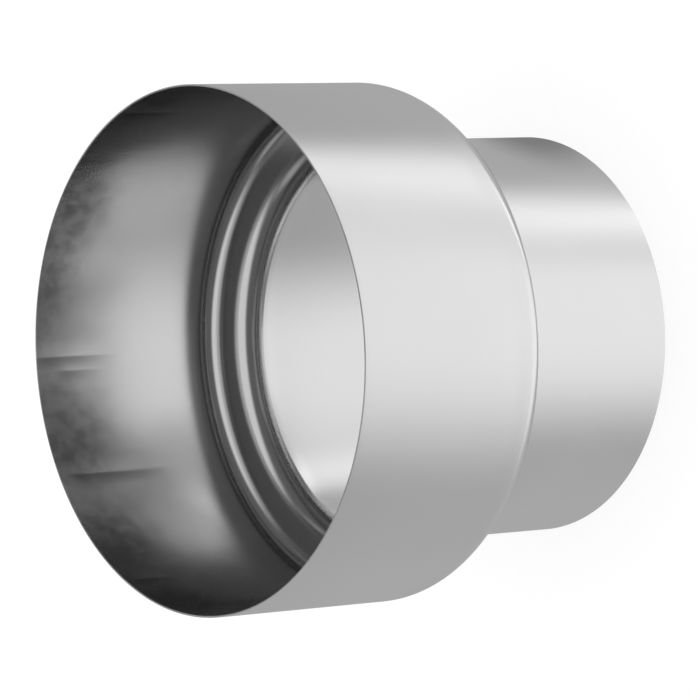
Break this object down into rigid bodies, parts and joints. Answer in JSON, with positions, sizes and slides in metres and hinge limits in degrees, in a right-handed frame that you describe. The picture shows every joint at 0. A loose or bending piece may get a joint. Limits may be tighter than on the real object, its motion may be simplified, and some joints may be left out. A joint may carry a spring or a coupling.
{
  "type": "duct reducer",
  "caption": "Round steel duct reducer: a wide collar steps down to a narrower collar through a rounded shoulder.",
  "frame": {"origin": "centre of the narrow rim's plane, which the part stands on", "axes": "+Z along the duct's axis, from the narrow collar up to the wide mouth"},
  "size_m": [0.16, 0.16, 0.1355],
  "materials": {
    "steel_sheet": "satin, bare steel sheet"
  },
  "bodies": {
    "root": {"duct_reducer": "steel_sheet"}
  },
  "joints": []
}
